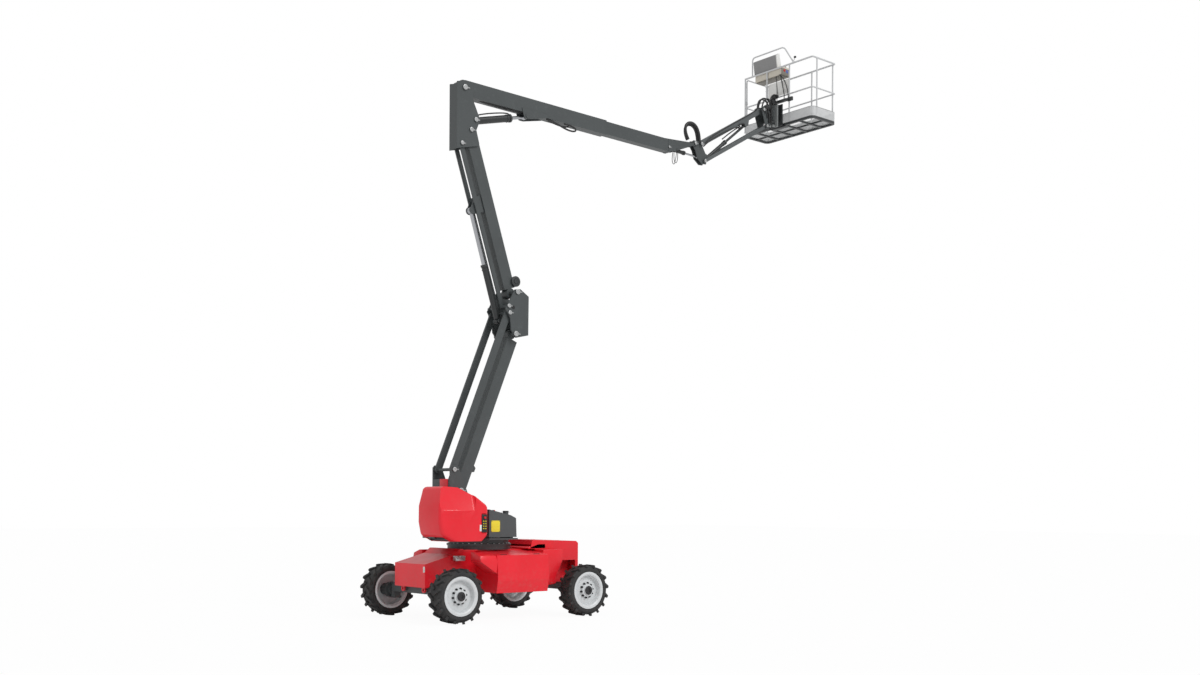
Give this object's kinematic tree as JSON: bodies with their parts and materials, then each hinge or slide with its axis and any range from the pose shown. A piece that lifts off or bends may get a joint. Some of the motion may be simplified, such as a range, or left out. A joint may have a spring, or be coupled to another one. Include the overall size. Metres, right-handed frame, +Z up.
{
  "type": "articulating boom lift",
  "caption": "Self-propelled work platform on four wheels, with a slewing turntable, two folding risers, a telescopic boom, a jib and a guarded basket.",
  "frame": {"origin": "on the ground, at the middle of the whole machine's length and width at rest", "axes": "+X the way the boom reaches, +Y the left side seen along +X, +Z up"},
  "size_m": [9.4344, 2.31, 11.001],
  "materials": {
    "red_paint": "gloss paint",
    "red_cover": "glass-fibre cover, gloss paint",
    "boom_grey": "satin paint",
    "dark_steel": "satin black",
    "cast_iron": "painted casting",
    "tank_grey": "moulded tank",
    "black_plastic": "matt black",
    "rim_grey": "satin light grey",
    "rail_grey": "satin light grey",
    "platform_grey": "satin grey",
    "console_plastic": "moulded, beige",
    "chrome": "hard chrome",
    "tyre": "black rubber"
  },
  "bodies": {
    "chassis": {"chassis_frame": "red_paint", "front_axle": "dark_steel", "rear_axle": "dark_steel", "steer_cylinder": "dark_steel", "front_cover": "red_paint", "rear_cover": "red_paint", "side_box_left": "red_paint", "side_box_right": "red_paint", "slew_ring": "dark_steel"},
    "knuckle_left": {"knuckle_left": "dark_steel"},
    "knuckle_right": {"knuckle_right": "dark_steel"},
    "steer_rod": {"steer_rod": "chrome"},
    "turntable": {"turntable_frame": "boom_grey", "counterweight": "cast_iron", "power_pack": "dark_steel", "fuel_tank": "tank_grey"},
    "engine_hood": {"engine_hood": "red_cover", "ground_controls": "black_plastic"},
    "valve_cover": {"valve_cover": "red_cover"},
    "lower_arm": {"lower_arm": "boom_grey"},
    "lower_links": {"lower_links": "boom_grey"},
    "elbow": {"elbow_link": "boom_grey"},
    "lower_cyl_barrel": {"lower_cyl_barrel": "boom_grey"},
    "lower_cyl_rod": {"lower_cyl_rod": "chrome"},
    "upper_arm": {"upper_arm": "boom_grey"},
    "upper_links": {"upper_links": "boom_grey"},
    "upright": {"upright": "boom_grey"},
    "upper_cyl_barrel": {"upper_cyl_barrel": "boom_grey"},
    "upper_cyl_rod": {"upper_cyl_rod": "chrome"},
    "boom": {"boom_outer": "boom_grey"},
    "boom_cyl_barrel": {"boom_cyl_barrel": "boom_grey"},
    "boom_cyl_rod": {"boom_cyl_rod": "chrome"},
    "fly": {"boom_fly": "boom_grey"},
    "nose": {"boom_nose": "boom_grey"},
    "level_cyl_barrel": {"level_cyl_barrel": "boom_grey"},
    "level_cyl_rod": {"level_cyl_rod": "chrome"},
    "jib_arm": {"jib_arm": "boom_grey"},
    "jib_links": {"jib_links": "boom_grey"},
    "jib_head": {"jib_head": "boom_grey"},
    "jib_cyl_barrel": {"jib_cyl_barrel": "boom_grey"},
    "jib_cyl_rod": {"jib_cyl_rod": "chrome"},
    "platform": {"platform_bracket": "platform_grey", "platform_frame": "boom_grey", "platform_floor": "rail_grey", "guard_rails": "rail_grey", "control_console": "console_plastic"},
    "gate": {"platform_gate": "rail_grey"},
    "wheel_front_left": {"rim_front_left": "rim_grey", "tyre_front_left": "tyre"},
    "wheel_front_right": {"rim_front_right": "rim_grey", "tyre_front_right": "tyre"},
    "wheel_rear_left": {"rim_rear_left": "rim_grey", "tyre_rear_left": "tyre"},
    "wheel_rear_right": {"rim_rear_right": "rim_grey", "tyre_rear_right": "tyre"}
  },
  "joints": [
    {"name": "slew", "type": "hinge", "parent": "chassis", "child": "turntable", "pos_m": [-3.18475, 0, 1.1], "axis": [0, 0, 1], "range_deg": [-177.5, 177.5]},
    {"name": "steer_left", "type": "hinge", "parent": "chassis", "child": "knuckle_left", "pos_m": [-4.29475, 0.77, 0.4225], "axis": [0, 0, 1], "range_deg": [-35, 35]},
    {"name": "wheel_front_left", "type": "hinge", "parent": "knuckle_left", "child": "wheel_front_left", "pos_m": [-4.29475, 1.01, 0.4225], "axis": [0, 1, 0], "continuous": true},
    {"name": "wheel_rear_left", "type": "hinge", "parent": "chassis", "child": "wheel_rear_left", "pos_m": [-1.79975, 1.01, 0.4225], "axis": [0, 1, 0], "continuous": true},
    {"name": "steer_right", "type": "hinge", "parent": "chassis", "child": "knuckle_right", "pos_m": [-4.29475, -0.77, 0.4225], "axis": [0, 0, 1], "range_deg": [-35, 35]},
    {"name": "wheel_front_right", "type": "hinge", "parent": "knuckle_right", "child": "wheel_front_right", "pos_m": [-4.29475, -1.01, 0.4225], "axis": [0, 1, 0], "continuous": true},
    {"name": "wheel_rear_right", "type": "hinge", "parent": "chassis", "child": "wheel_rear_right", "pos_m": [-1.79975, -1.01, 0.4225], "axis": [0, 1, 0], "continuous": true},
    {"name": "steer_rod", "type": "slide", "parent": "chassis", "child": "steer_rod", "axis": [0, 1, 0], "range_m": [-0.115, 0.115]},
    {"name": "engine_hood", "type": "hinge", "parent": "turntable", "child": "engine_hood", "pos_m": [-4.11475, -0.312, 2.075], "axis": [-1, 0, 0], "range_deg": [0, 55]},
    {"name": "valve_cover", "type": "hinge", "parent": "turntable", "child": "valve_cover", "pos_m": [-2.98475, 0.312, 1.712], "axis": [1, 0, 0], "range_deg": [0, 55]},
    {"name": "lower_lift", "type": "hinge", "parent": "turntable", "child": "lower_arm", "pos_m": [-3.72075, 0, 2.032], "axis": [0, -1, 0], "range_deg": [-79.8, 2]},
    {"name": "lower_links", "type": "hinge", "parent": "turntable", "child": "lower_links", "pos_m": [-3.84575, 0, 2.367], "axis": [0, -1, 0], "range_deg": [-80.8, 3]},
    {"name": "elbow", "type": "hinge", "parent": "lower_arm", "child": "elbow", "pos_m": [-2.6628, 0, 4.62444], "axis": [0, -1, 0], "range_deg": [-3, 80.8]},
    {"name": "lower_cylinder", "type": "hinge", "parent": "turntable", "child": "lower_cyl_barrel", "pos_m": [-3.83975, 0, 1.345], "axis": [0, -1, 0], "range_deg": [-30.13, 1.73]},
    {"name": "lower_rod", "type": "slide", "parent": "lower_cyl_barrel", "child": "lower_cyl_rod", "axis": [0.426, 0, 0.9047], "range_m": [-0.5041, 0.0224]},
    {"name": "upper_lift", "type": "hinge", "parent": "elbow", "child": "upper_arm", "pos_m": [-2.6298, 0, 5.31744], "axis": [0, 1, 0], "range_deg": [-57.5, 2]},
    {"name": "upper_links", "type": "hinge", "parent": "elbow", "child": "upper_links", "pos_m": [-2.8058, 0, 5.06944], "axis": [0, 1, 0], "range_deg": [-58.5, 3]},
    {"name": "upright", "type": "hinge", "parent": "upper_arm", "child": "upright", "pos_m": [-3.45784, 0, 7.85684], "axis": [0, 1, 0], "range_deg": [-3, 58.5]},
    {"name": "upper_cylinder", "type": "hinge", "parent": "elbow", "child": "upper_cyl_barrel", "pos_m": [-2.8388, 0, 4.84444], "axis": [0, 1, 0], "range_deg": [-51.3, 2.75]},
    {"name": "upper_rod", "type": "slide", "parent": "upper_cyl_barrel", "child": "upper_cyl_rod", "axis": [-0.2978, 0, 0.9546], "range_m": [-0.4665, 0.0259]},
    {"name": "boom_lift", "type": "hinge", "parent": "upright", "child": "boom", "pos_m": [-3.58584, 0, 8.51284], "axis": [0, -1, 0], "range_deg": [-2, 72]},
    {"name": "boom_cylinder", "type": "hinge", "parent": "upright", "child": "boom_cyl_barrel", "pos_m": [-3.36884, 0, 8.03384], "axis": [0, -1, 0], "range_deg": [-2.73, 63.42]},
    {"name": "boom_rod", "type": "slide", "parent": "boom_cyl_barrel", "child": "boom_cyl_rod", "axis": [0.9655, 0, 0.2605], "range_m": [-0.026, 0.5854]},
    {"name": "extend", "type": "slide", "parent": "boom", "child": "fly", "axis": [0.9999, 0, -0.0131], "range_m": [-1.35, 0.25]},
    {"name": "nose_level", "type": "hinge", "parent": "fly", "child": "nose", "pos_m": [1.63707, 0, 8.62449], "axis": [0, -1, 0], "range_deg": [-73, 3]},
    {"name": "level_cylinder", "type": "hinge", "parent": "fly", "child": "level_cyl_barrel", "pos_m": [0.9644, 0, 8.42528], "axis": [0, -1, 0], "range_deg": [-1.11, 4.89]},
    {"name": "level_rod", "type": "slide", "parent": "level_cyl_barrel", "child": "level_cyl_rod", "axis": [0.9995, 0, -0.0326], "range_m": [-0.3056, 0.0182]},
    {"name": "jib_lift", "type": "hinge", "parent": "nose", "child": "jib_arm", "pos_m": [1.79207, 0, 8.63949], "axis": [0, -1, 0], "range_deg": [-76, 20]},
    {"name": "jib_links", "type": "hinge", "parent": "nose", "child": "jib_links", "pos_m": [1.88707, 0, 8.33449], "axis": [0, -1, 0], "range_deg": [-77, 21]},
    {"name": "jib_head", "type": "hinge", "parent": "jib_arm", "child": "jib_head", "pos_m": [3.4826, 0, 9.63131], "axis": [0, -1, 0], "range_deg": [-21, 77]},
    {"name": "jib_cylinder", "type": "hinge", "parent": "nose", "child": "jib_cyl_barrel", "pos_m": [1.88707, 0, 8.33449], "axis": [0, -1, 0], "range_deg": [-81.83, 22.27]},
    {"name": "jib_rod", "type": "slide", "parent": "jib_cyl_barrel", "child": "jib_cyl_rod", "axis": [0.782, 0, 0.6233], "range_m": [-0.3597, 0.102]},
    {"name": "platform_turn", "type": "hinge", "parent": "jib_head", "child": "platform", "pos_m": [3.86525, 0, 9.63131], "axis": [0, 0, 1], "range_deg": [-90, 90]},
    {"name": "gate", "type": "hinge", "parent": "platform", "child": "gate", "pos_m": [4.65725, 0.892, 9.905], "axis": [0, 0, 1], "range_deg": [-90, 0]}
  ],
  "couplings": [
    {"joint": "steer_right", "follows": "steer_left", "ratio": 1},
    {"joint": "steer_rod", "follows": "steer_left", "m_per_rad": 0.185},
    {"joint": "lower_links", "follows": "lower_lift", "ratio": 1},
    {"joint": "elbow", "follows": "lower_lift", "ratio": -1},
    {"joint": "lower_cylinder", "follows": "lower_lift", "ratio": 0.36503},
    {"joint": "lower_rod", "follows": "lower_lift", "m_per_rad": 0.35476},
    {"joint": "upper_links", "follows": "upper_lift", "ratio": 1},
    {"joint": "upright", "follows": "upper_lift", "ratio": -1},
    {"joint": "upper_cylinder", "follows": "upper_lift", "ratio": 0.87483},
    {"joint": "upper_rod", "follows": "upper_lift", "m_per_rad": 0.45483},
    {"joint": "boom_cylinder", "follows": "boom_lift", "ratio": 0.86697},
    {"joint": "boom_rod", "follows": "boom_lift", "m_per_rad": 0.45792},
    {"joint": "nose_level", "follows": "boom_lift", "ratio": -1},
    {"joint": "level_cylinder", "follows": "boom_lift", "ratio": 0.053993},
    {"joint": "level_rod", "follows": "boom_lift", "m_per_rad": -0.23526},
    {"joint": "jib_links", "follows": "jib_lift", "ratio": 1},
    {"joint": "jib_head", "follows": "jib_lift", "ratio": -1},
    {"joint": "jib_cylinder", "follows": "jib_lift", "ratio": 1.0636},
    {"joint": "jib_rod", "follows": "jib_lift", "m_per_rad": 0.26363}
  ]
}
